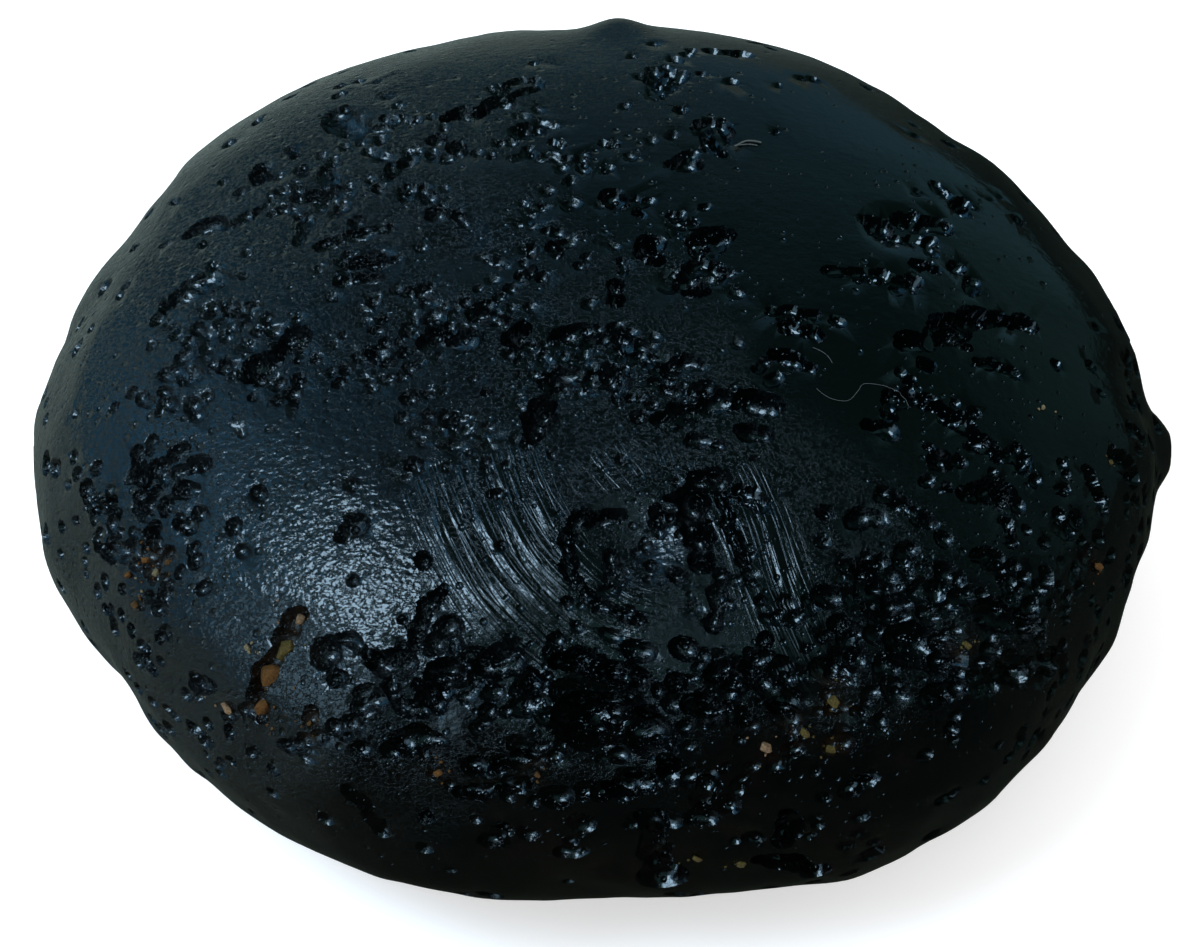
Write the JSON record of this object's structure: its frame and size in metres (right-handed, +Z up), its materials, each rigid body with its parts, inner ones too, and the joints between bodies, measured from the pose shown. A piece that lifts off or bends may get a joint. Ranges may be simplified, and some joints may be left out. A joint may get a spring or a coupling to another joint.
{
  "type": "tektite",
  "caption": "Flattened bun of black natural glass, pitted by burst bubbles and gouges, that rests on the flat of its belly.",
  "frame": {"origin": "on the resting flat, straight below the crown", "axes": "+Z up from the resting flat to the crown, +X along the stone's long way, +Y towards its smooth back, -Y out of its steep front wall"},
  "size_m": [0.066, 0.0595, 0.027],
  "materials": {
    "impact_glass": "gloss",
    "laterite_soil": "matte",
    "lint": "matte"
  },
  "bodies": {
    "root": {"tektite": "impact_glass"}
  },
  "joints": []
}
